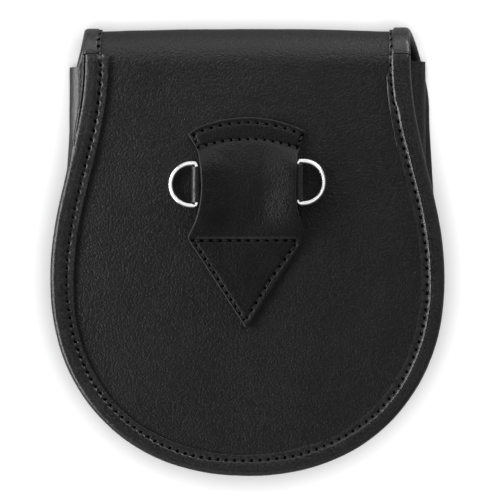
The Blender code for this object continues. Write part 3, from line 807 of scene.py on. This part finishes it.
def hole_shades(name, seams, long=HOLE_LONG, wide=HOLE_WIDE, slant=HOLE_SLANT):
    """Painted shade in each needle hole: a small flat near-black ellipsoid that lies in its dimple in place
    of the shadow there.
    """
    around = circle(12)
    level = np.radians((-60, -25, 0, 25, 50, 75))[:, None]
    a, b = long * np.cos(level) * np.cos(around), wide * np.cos(level) * np.sin(around)
    ahead = a * math.cos(slant) - b * math.sin(slant)
    aside = a * math.sin(slant) + b * math.cos(slant)
    bodies = []
    for seam in seams:
        first, last = seam.distance[[0, -1]] / PITCH + 0.5
        for hole in (np.arange(math.ceil(first), math.floor(last) + 1) - 0.5) * PITCH:
            values = (seam.inset, seam.floor, seam.size)
            inset, floor, size = (np.interp(hole, seam.distance, value) for value in values)
            lift = seam.side * (floor - HOLE_SUNK + HOLE_THICK * np.sin(level) + 0 * around)
            bodies.append(tube(seam.place(hole + ahead * size, inset + aside * size, lift)))
    add_piece(name, "pouch", None, joined(bodies), HOLE_SHADE, sharp=80)


PANEL_FLOOR = PANEL_T / 2 + SNUG
FLANGE_FLOOR = PANEL_T / 2 + GAP + GUSSET_T + SNUG


def on_strap(distance, inset, lift):
    return drape(*STRAP.at(distance, inset), lift)


def on_flap(distance, inset, lift):
    return drape(*STRAP.from_tip(distance, inset), lift)


def on_front(distance, inset, lift):
    return front_place(*FRONT.at(distance, inset), -lift)


def stations(reach, per_stitch):
    """Evenly spaced distances to the reach each way, this many to a stitch."""
    return np.linspace(-reach, reach, 2 * round(reach / PITCH * per_stitch) + 1)


def back_edging():
    distance = stations(MEET - GAP / 2, 10)
    values = {name: read(rows, distance, rounding) for name, (rounding, rows) in BACK_LEG.items()}
    values["stitch"] += waver(distance, 0.22, 1.0)
    values["band"] += waver(distance, 0.25, 3.0)
    inner = Leg(stitch=6.0 + waver(distance, 0.2, 5.0), band=8.2)
    legs, floors = (Leg(**values, fine=True), inner), (PANEL_FLOOR, FLANGE_FLOOR)
    edging("back_edging", "back_binding", distance, on_strap, legs, floors, (1, 2))


# The flap's edging. A pair is for its left end and its right one, over the fold, and distances along it are
# from where it meets the back's edging.
FLAP_STITCH, FLAP_BAND, FLAP_CUT = 6.7, 7.8, 0.62
FLAP_ASIDE, ASIDE_END = (-0.6, 1.3), 45.0  # how much further in its cut edge is
FLAP_ASIDE_STITCH = 1.1  # of that is how much further in its stitches are
FLAP_SQUARER, SQUARE_START, SQUARE_FADE = (1.4, 0.3), 30.0, 15.0
FLAP_PLUMP = ((0, 0.45), (19.5, 0.40), (32, 0.1), (45, 0.0))  # the left end only
FLAP_HIGHER, HIGHER_REACH, FLAP_SHINE = 0.55, 17.0, 0.8  # the right end's shoulder, and the polish of both


def flap_edging():
    """Over the fold its left end is squarer and plumper, and its right end stands higher and is polished."""
    reach = STRAP.length - MEET - GAP / 2
    distance = stations(reach, 8)
    from_meet = reach - np.abs(distance)
    from_crown = from_meet - BINDING_START
    left, right = distance < 0, distance > 0
    aside = np.where(left, *FLAP_ASIDE) * (1 - smooth(from_meet / ASIDE_END))
    squarer = np.where(left, *FLAP_SQUARER) * (1 - smooth((from_meet - SQUARE_START) / SQUARE_FADE))
    outer = Leg(
        stitch=FLAP_STITCH + aside * FLAP_ASIDE_STITCH + waver(distance, 0.18, 7.0),
        band=FLAP_BAND + aside + waver(distance, 0.2, 6.0),
        cut=FLAP_CUT,
        ridge=right * dome(from_crown, BINDING_START),
        shoulder=SHOULDER + right * FLAP_HIGHER * dome(from_crown, HIGHER_REACH),
        puff=0.0,
        power=2 + squarer,
        plump=left * read(FLAP_PLUMP, from_meet, 3.0),
        shine=FLAP_SHINE * dome(from_crown, BINDING_START),
        fine=True,
    )
    legs, floors = (outer, Leg(outer.stitch, FLAP_BAND)), (PANEL_FLOOR, PANEL_FLOOR)
    edging("flap_edging", "flap_binding", distance, on_flap, legs, floors, (1, 2))


def front_edging():
    """Its inner leg is a wide slope, because the gusset's flange in it starts well inside the edge."""
    distance = stations(FRONT.length, 8)
    waving = waver(distance, 0.2, 9.0)
    outer = Leg(stitch=6.3 + waving, band=8.2)
    inner = Leg(stitch=8.0 + waving, band=9.8, reach=6.2, power=1.5)
    legs, floors = (outer, inner), (PANEL_FLOOR, FLANGE_FLOOR)
    edging("front_edging", "front_binding", distance, on_front, legs, floors, (2, 2), widest=0.8)


# ==== gusset
GUSSET_SECTION = (  # depth from back to front, and inset
    (0.00, 2.5), (0.00, 8.8), (0.06, 10.4), (0.27, 11.6), (0.50, 15.5), (0.73, 12.4), (0.94, 11.4),
    (1.00, 10.0), (1.00, 6.2),
)
GUSSET_FOLD = 4  # the section's row at its inward fold
FLANGE = PANEL_T / 2 + GAP + GUSSET_T / 2
GATHER_DEPTH, GATHER_REACH, GATHER_BEND = 0.28, 1.9, 0.9


def between(rows, at):
    """A smooth line through the rows, at these places counted in rows: cubics whose slope at each row is that
    between its neighbours."""
    low = np.clip(np.floor(at).astype(int), 0, len(rows) - 2)
    share = (at - low)[:, None, None]
    before, after = np.maximum(low - 1, 0), np.minimum(low + 2, len(rows) - 1)
    a, b, c, d = rows[before], rows[low], rows[low + 1], rows[after]
    slope_b, slope_c = (c - a) / 2, (d - b) / 2
    s2, s3 = share**2, share**3
    curve = (2 * s3 - 3 * s2 + 1) * b + (s3 - 2 * s2 + share) * slope_b
    return curve + (3 * s2 - 2 * s3) * c + (s3 - s2) * slope_c


def gathers(s):
    """Small uneven ripples along the pouch's side: a sine whose length and height wander."""
    return np.sin(s / 1.9 + 1.3 * np.sin(s / 11.0)) * (0.35 + 0.65 * (1 + np.sin(s / 23.0 + 1)) / 2)


def gusset_leather():
    """Each row of the section goes round the pouch, part of the way from the back's edge to the front's. The
    rows between follow smoothly, and small gathers ride on the walls."""
    pouch = np.linspace(-1, 1, 381)
    rows = []
    for depth, inset in GUSSET_SECTION:
        back = drape(*STRAP.at(pouch * FOLD_IN, inset), -FLANGE)
        front = front_place(*FRONT.at(pouch * FRONT.length, inset), FLANGE)
        rows.append(back + (front - back) * depth)
    at = np.concatenate([[0.0, 0.5], np.linspace(1, 7, 37), [7.5, 8.0]])
    grid = between(np.array(rows), at)
    grid[:2, :, 2] = grid[0, :, 2]
    past_fold = (at - GUSSET_FOLD)[:, None]
    walls = np.exp(-((past_fold / GATHER_REACH) ** 4)) * np.cos(past_fold * GATHER_BEND)
    grid += normals(grid) * (walls * GATHER_DEPTH * gathers(pouch * FOLD_IN))[..., None]
    out = normals(grid) * GUSSET_T / 2
    sheet("gusset_leather", "gusset", grid + out, grid - out, GUSSET_LEATHER)


# ==== belt loop, about its waist
LOOP_Y = 40.5
LOOP_TOP, LOOP_ARC, LOOP_CORNER = 21.6, 6.1, 24.9
LOOP_SHOULDER, LOOP_TIP = -23.2, -60.2
LOOP_LEFT_DROP = (21.3, 0.85, 3.6)  # its top left corner drops past this x, by this much, over this width
LOOP_BAND = 8.6
LOOP_HEIGHT, LOOP_DIP, LOOP_SAG = 5.5, 2.4, (5.0, 20.5)
LOOP_CREST_ABOVE, LOOP_CREST_BELOW, LOOP_CREST_FULL = (-2.0, 4.5), (-6.0, -10.0), 16.0
LOOP_HALF = (
    (-60.2, 0.6), (-23.1, 24.7), (-19.2, 23.4), (-15.5, 21.85), (-10, 20.4), (-5, 19.8), (0, 19.7),
    (5.8, 20.1), (10.9, 20.9), (13.7, 21.85), (21.6, 24.6),
)
LOOP_SHIFT = ((-60, -0.3), (-23, -0.4), (-17, 0.2), (0, 0.5), (13.7, 0.25), (21.6, -0.42))
# the grey of its cut edges is the raw edge's own, made paler as a painted highlight
LOOP_EDGE, LOOP_CUT = 0.8, 0.5  # the radius its cut edges are rubbed down to, and how far in they are grey
LOOP_GROOVE, LOOP_GROOVE_WAVE, LOOP_GROOVE_WIDTH = 0.24, 0.07, 0.9
# the lip's last number paints it paler, as a painted highlight along its top
LIP_X, LIP_Y, LIP_WIDTH, LIP_HEIGHT, LIP_PAINTED_HIGHLIGHT = -0.5, -22.9, 0.5, 0.50, 0.9
LIP_HALF, LIP_FADE = 19.0, 4.0
LOOP_UNEVEN, LOOP_UNEVEN_X = 1.9, 11.0  # how much closer its unevenness is, and where it is taken from
LOOP_THREAD_R = 0.28
SEWN_HEIGHT = 1.5  # the air under the loop over which its snug underside comes clear
LINE_STEP = 0.25


def loop_top_arc(x):
    """How far the circle through the two top corners stands over them."""
    radius = (LOOP_CORNER**2 + LOOP_ARC**2) / (2 * LOOP_ARC)
    start, drop, width = LOOP_LEFT_DROP
    arc = np.sqrt(radius**2 - np.minimum(np.abs(x), LOOP_CORNER) ** 2) - (radius - LOOP_ARC)
    return arc - drop * np.clip((-x - start) / width, 0, 1)


def loop_air(x, y):
    """The air under the loop: none where it is sewn down, most over the rings' bars, and less where the
    middle sags between them."""
    out = smooth(np.abs(x) / LOOP_CREST_FULL)
    crests = LOOP_CREST_ABOVE, LOOP_CREST_BELOW
    crest_above, crest_below = (middle + (side - middle) * out for middle, side in crests)
    sewn_above = LOOP_TOP - LOOP_BAND + loop_top_arc(x)
    up = (sewn_above - y) / (sewn_above - crest_above)
    down = (y - LOOP_SHOULDER) / (crest_below - LOOP_SHOULDER)
    rise = np.sin(np.pi / 2 * np.clip(np.minimum(up, down), 0, 1))
    sag_start, sag_end = LOOP_SAG
    return (LOOP_HEIGHT - LOOP_DIP * (1 - smooth((np.abs(x) - sag_start) / (sag_end - sag_start)))) * rise


def line(*corners, step=LINE_STEP):
    """Points a step apart along straight lines between the corners."""
    corners = np.array(corners, float)
    lengths = measure(corners)
    return points_of(*follow(np.linspace(0, lengths[-1], round(lengths[-1] / step) + 1), lengths, corners))


def on_loop(x, y, lift):
    """A point by its height over the outside of the back panel."""
    return drape(x, LOOP_Y + y, PANEL_T / 2 + lift)


def loop_floor(x, y):
    """The height of the loop's underside: snug where it is sewn, clear where it is raised."""
    air = loop_air(x, y)
    return SNUG + (GAP - SNUG) * smooth(air / SEWN_HEIGHT) + air


class LoopRow:
    """One row of stitches, with the pitch nearest its own that divides it evenly."""

    def __init__(self, points, pitch, long=0.78, wide=0.58, slant=20):
        self.points, self.long, self.wide, self.slant = points, long, wide, math.radians(slant)
        length = (len(points) - 1) * LINE_STEP
        self.pitch = length / max(1, round(length / pitch))
        self.along = unit(np.gradient(points, axis=0))
        self.at = (np.arange(len(points)) * LINE_STEP / self.pitch - 0.5) * PITCH

    def place(self, distance, across, lift):
        """A point over the loop by its distance along the row, as if its pitch were the edgings'."""
        (x, y), (along_x, along_y) = (follow(distance, self.at, of) for of in (self.points, self.along))
        x, y = x - across * along_y, y + across * along_x
        return on_loop(x, y, loop_floor(x, y) + LOOP_T + lift)

    def seam(self):
        start, end = self.at[[0, -1]]
        distance = np.linspace(start, end, round((end - start) / PITCH) * 10 + 1)
        level = 0 * distance
        return Seam(distance, level, level - LOOP_GROOVE, level + 1, 1, self.place)


def loop_rows():
    """The rows of stitches on the belt loop: points along each, its pitch, and how its holes differ."""
    x = np.linspace(-22.3, 23.1, 60)
    outer = points_of(x, LOOP_TOP - 2.3 + loop_top_arc(x))
    x = np.linspace(-20.5, 20.9, 60)
    inner = points_of(x, LOOP_TOP - LOOP_BAND + 0.3 + loop_top_arc(x) * 0.85)
    return [
        LoopRow(line(*outer), 3.8),
        LoopRow(line(*inner), 3.6),
        LoopRow(line((-22.3, 19.6), (-20.5, 15.2)), 2.9),
        LoopRow(line((23.1, 20.0), (20.9, 15.4)), 2.9),
        LoopRow(line((-21.3, -25.9), (-1.3, -57.2)), 3.3),
        LoopRow(line((19.9, -25.9), (9.1, -41.0), (0.0, -56.3)), 3.5),
        LoopRow(line((-23.0, -23.85), (20.0, -23.85)), 3.9, long=1.25, wide=0.64, slant=8),
    ]


LOOP_ROWS = loop_rows()


def loop_lip(x, y):
    """The lip of leather that stands over the lower row, from 0 to 1. The same share paints a highlight along
    it.
    """
    return bell(y - LIP_Y, LIP_WIDTH) * (1 - smooth((np.abs(x - LIP_X) - LIP_HALF) / LIP_FADE))


def loop_relief(x, y):
    """The stitched grooves and their dimples, by each point's nearest place on each row, the lip over the
    lower row, and an unevenness of its own."""
    relief = 0 * x
    for row in LOOP_ROWS:
        apart = np.hypot(x[..., None] - row.points[:, 0], y[..., None] - row.points[:, 1])
        nearest = apart.min(-1)
        phase = apart.argmin(-1) * LINE_STEP / row.pitch
        depth = LOOP_GROOVE - LOOP_GROOVE_WAVE * np.cos(math.tau * phase)
        relief -= depth * bell(nearest, LOOP_GROOVE_WIDTH)
        relief -= dimple((phase - np.round(phase)) * row.pitch, nearest, row.long, row.wide)
    return relief + LIP_HEIGHT * loop_lip(x, y) + uneven(x * LOOP_UNEVEN + LOOP_UNEVEN_X, y * LOOP_UNEVEN)


def belt_loop():
    """Rows across, as wide as the table says and arched more and more towards the top, as a slab over the air
    under the loop, with rubbed edges."""
    u = crowded(151)[None, :]
    middle = (-26.5, 92), (-21.0, 112), (12.0, 172), (21.0, 206)
    row_y = spread(((LOOP_TIP, 0), (LOOP_TIP + 0.5, 4), *middle, (LOOP_TOP, 212)))
    half = read(LOOP_HALF, row_y, 0.7)
    x = u * half[:, None] + read(LOOP_SHIFT, row_y)[:, None]
    y = row_y[:, None] + loop_top_arc(x) * smooth(row_y / (LOOP_TOP - LOOP_BAND))[:, None]
    from_side = (1 - np.abs(u)) * (half / np.hypot(1, np.gradient(half, row_y)))[:, None]
    from_edge = np.minimum(from_side, np.minimum(row_y - LOOP_TIP, LOOP_TOP - row_y)[:, None])
    rounding = quarter_round(from_edge, LOOP_EDGE)
    floor = loop_floor(x, y)
    top = on_loop(x, y, floor + LOOP_T + loop_relief(x, y) - rounding)
    bottom = on_loop(x, y, floor + rounding)
    cut = 1 - smooth(from_edge / LOOP_CUT)
    # the cut edges' grey, and a painted highlight along the lip over the lower row
    rubbed = np.maximum(cut, LIP_PAINTED_HIGHLIGHT * loop_lip(x, y))
    edge_greys_and_lip_highlight = np.concatenate([rubbed.ravel(), cut.ravel()])
    sheet("belt_loop_leather", "belt_loop", top, bottom, LOOP_LEATHER, cut=edge_greys_and_lip_highlight)


def loop_thread():
    """The thread of the loop's rows, and the painted shade in each row's holes."""
    seams = [row.seam() for row in LOOP_ROWS]
    stitches("belt_loop_thread", seams, LOOP_THREAD_R)
    for k, (row, seam) in enumerate(zip(LOOP_ROWS, seams)):
        hole_shades(f"belt_loop_hole_shade_{k + 1}", [seam], row.long, row.wide, row.slant)


# ==== ring strip and rings
RING_R, RING_ARM, RING_CORNER, RING_BAR_X, RING_Y_SHIFT = 8.85, 2.3, 1.15, 21.0, 0.5
BAR_CLEARANCE = 0.25
STRIP_HALF, STRIP_EDGE = 7.5, 0.3
STRIP_RETURN, STRIP_PINCH = 9.0, 5.5  # the x its ends come back to, and the length that they close up over
BAR_HEIGHT = GAP + STRIP_T + BAR_CLEARANCE + WIRE_R
STRIP_FOLD_R = WIRE_R + BAR_CLEARANCE + STRIP_T / 2
BAR_SINK = ((-RING_BAR_X, 0.15), (RING_BAR_X, 0.27))  # how far the bars are let down, to lie on their joints
WIRE_STEP = 0.55


def strip_path():
    """(x, height) of the middle of the strip's thickness: flat under the rings, round the right bar, and back
    above itself. The left half is the mirror of the right."""
    floor, ceiling = BAR_HEIGHT - STRIP_FOLD_R, BAR_HEIGHT + STRIP_FOLD_R
    layer = floor + STRIP_T + GAP
    turn = np.linspace(-np.pi / 2, np.pi / 2, 19)
    fold = points_of(RING_BAR_X + STRIP_FOLD_R * np.cos(turn), BAR_HEIGHT + STRIP_FOLD_R * np.sin(turn))
    share = np.linspace(0, 1, 13)[1:]
    back = points_of(RING_BAR_X - STRIP_PINCH * share, ceiling - (ceiling - layer) * smooth(share))
    flat = points_of(np.linspace(0, RING_BAR_X, 15)[:-1], floor)
    end = points_of(np.linspace(RING_BAR_X - STRIP_PINCH, STRIP_RETURN, 9)[1:], layer)
    right = np.concatenate([flat, fold, back, end])
    return np.concatenate([right[:0:-1] * (-1, 1), right])


def ring_strip():
    """A slab over and under its path, with its flesh side up where it lies flat."""
    path, across = strip_path(), crowded(33)
    steps = unit(np.gradient(path, axis=0))
    from_edge = (1 - np.abs(across)) * STRIP_HALF
    half = STRIP_T / 2 - quarter_round(from_edge, STRIP_EDGE)
    faces = []
    for sign in (1, -1):
        x = path[:, None, 0] - sign * steps[:, None, 1] * half
        height = path[:, None, 1] + sign * steps[:, None, 0] * half
        y = across[None, :] * STRIP_HALF + RING_Y_SHIFT * x / RING_BAR_X
        faces.append(on_loop(x, y, height - read(BAR_SINK, x)))
    shape = slab(*faces)
    cut = 1 - np.clip(from_edge / STRIP_EDGE, 0, 1)
    marks = {"flesh": 1 - two_sides(faces[0]), "cut": np.tile(cut, 2 * len(path))}
    add_piece("ring_strip", "pouch", "ring_tab", shape, EDGING_LEATHER, marks)


def wire_path():
    """The D, flat, with the middle of its bar at the origin: a bar, two tight corners and half a circle."""
    corner = RING_R - RING_CORNER

    def bend(x, y, radius, start, end, steps):
        turn = np.radians(np.linspace(start, end, steps))
        return points_of(x + radius * np.cos(turn), y + radius * np.sin(turn))

    return line(
        *bend(RING_CORNER, -corner, RING_CORNER, 180, 270, 13),
        *bend(RING_ARM, 0, RING_R, -90, 90, 61),
        *bend(RING_CORNER, corner, RING_CORNER, 90, 180, 13),
        (0, -corner),
        step=WIRE_STEP,
    )[:-1]


def d_ring(name, node, body, side):
    """Round wire carried along the D, then turned about its bar until its round side lies on the back."""
    path = wire_path()
    along = unit(np.roll(path, -1, 0) - np.roll(path, 1, 0))
    turn = circle(20)
    out = points_of(along[:, 1], -along[:, 0])
    flat = path[:, None] + out[:, None] * (WIRE_R * np.cos(turn))[None, :, None]
    up = np.broadcast_to(WIRE_R * np.sin(turn), flat.shape[:2])
    x, y, reach = side * RING_BAR_X, side * RING_Y_SHIFT, RING_ARM + RING_R
    bar = on_loop(x, y, BAR_HEIGHT - read(BAR_SINK, x))
    rest = on_loop(x + side * reach, y, GAP + WIRE_R)
    droop = math.asin((bar[2] - rest[2]) / reach)
    x = flat[..., 0] * math.cos(droop) + up * math.sin(droop)
    z = up * math.cos(droop) - flat[..., 0] * math.sin(droop)
    rings = np.stack([bar[0] + side * x, bar[1] + flat[..., 1], bar[2] + z], -1)
    return add_piece(name, body, node, tube(rings, closed=True), NICKEL)


# ==== hidden stud
STUD_Y = -15.0
STUD_PROFILE = (  # radius, height, from the head towards the flap to the cap on the front
    (2.6, 0.0), (3.4, 0.06), (3.8, 0.18), (4.0, 0.36), (3.9, 0.55), (3.4, 0.62), (2.4, 0.66), (2.2, 0.8),
    (2.2, 1.1), (2.5, 1.2), (4.6, 1.2), (4.95, 1.32), (5.0, 1.5), (4.8, 1.7), (4.2, 1.8),
)


def stud():
    """The profile turned round its own axis."""
    radius, height = np.array(STUD_PROFILE).T[:, :, None]
    turn = circle(48)
    under = front_place(0.0, STUD_Y, -PANEL_T / 2)
    z = under[2] - GAP - height[-1] + height + 0 * turn
    rings = np.stack([radius * np.cos(turn), under[1] + radius * np.sin(turn), z], -1)
    add_piece("stud", "pouch", "closure_stud", tube(rings), NICKEL, sharp=60)


back_and_flap()
front_leather()
gusset_leather()
back_edging()
flap_edging()
front_edging()
belt_loop()
loop_thread()
ring_strip()
RINGS = [
    d_ring("d_ring_left", "ring_left", "left_ring", -1),
    d_ring("d_ring_right", "ring_right", "right_ring", 1),
]
stud()


# ==== floor, light and camera
def floor():
    """A pale square far wider than the view."""
    half = 3000.0 * MM
    mesh = bpy.data.meshes.new("floor")
    corners = [(x * half, y * half, 0) for x, y in ((-1, -1), (1, -1), (1, 1), (-1, 1))]
    mesh.from_pydata(corners, [], [(0, 1, 2, 3)])
    paint = Paint("pale_floor")
    mesh.materials.append(paint.finish(base_color=(0.82, 0.82, 0.82, 1), roughness=0.9))
    ground = put("floor", mesh)
    ground.visible_glossy = False
    return ground


def light(name, azimuth, elevation, distance, width, height, watts, objects, only=False):
    """A soft panel of light that faces the pouch, in metres and watts. Azimuth 0 is to the right of it and 90
    beyond the fold. It lights these objects only, or else all but these."""
    lamp = bpy.data.lights.new(name, "AREA")
    lamp.shape, lamp.size, lamp.size_y, lamp.energy = "RECTANGLE", width, height, watts
    made = put(name, lamp)
    a, e = math.radians(azimuth), math.radians(elevation)
    level = distance * math.cos(e)
    made.location = (level * math.cos(a), level * math.sin(a), distance * math.sin(e))
    made.rotation_euler = (math.pi / 2 - e, 0, a + math.pi / 2)
    linked = bpy.data.collections.new(name + "_on")
    for thing in objects:
        linked.objects.link(thing)
    for each in linked.collection_objects:
        each.light_linking.link_state = "INCLUDE" if only else "EXCLUDE"
    made.light_linking.receiver_collection = linked


LIGHTS = (  # name, azimuth and elevation in degrees, distance, width, height, watts
    ("left_light", 180, 22, 1.3, 2.0, 0.45, 27.0),
    ("fold_light", 90, 22, 1.3, 1.8, 0.9, 7.8),
    ("foot_light", 270, 35, 1.3, 1.6, 1.0, 2.0),
    ("right_light", 0, 45, 1.4, 1.6, 1.0, 1.0),
    ("corner_light", 48, 10, 1.3, 0.5, 0.4, 6.5),
)


def studio(ground):
    for row in LIGHTS:
        light(*row, [ground])
    light("ring_light", 0, 90, 1.0, 1.2, 1.2, 6.0, RINGS, only=True)
    light("ground_light", 0, 90, 1.2, 0.9, 0.9, 23.0, [ground], only=True)
    air()
    bpy.context.scene.view_settings.view_transform = "Standard"


def air():
    """The room: dim above, and brighter from below, where the leather mirrors it in place of the floor."""
    world = bpy.data.worlds.new("studio_air")
    world.use_nodes = True
    tree = world.node_tree
    kinds = "TexCoord", "SeparateXYZ", "MapRange"
    place, split, blend = (tree.nodes.new("ShaderNode" + kind) for kind in kinds)
    for name, value in {"From Min": -0.05, "From Max": 0.05, "To Min": 0.30, "To Max": 0.08}.items():
        blend.inputs[name].default_value = value
    tree.links.new(place.outputs["Generated"], split.inputs["Vector"])
    tree.links.new(split.outputs["Z"], blend.inputs["Value"])
    background = tree.nodes["Background"]
    background.inputs["Color"].default_value = (1, 1, 1, 1)
    tree.links.new(blend.outputs["Result"], background.inputs["Strength"])
    bpy.context.scene.world = world


def camera():
    """Straight above, far enough back that the sides show only a little, as in the photograph."""
    lens = bpy.data.cameras.new("camera")
    lens.sensor_width, lens.lens = 36.0, 154.29
    made = put("camera", lens)
    made.location = (0.0011, 0.00025, 0.9331)
    bpy.context.scene.camera = made


studio(floor())
camera()
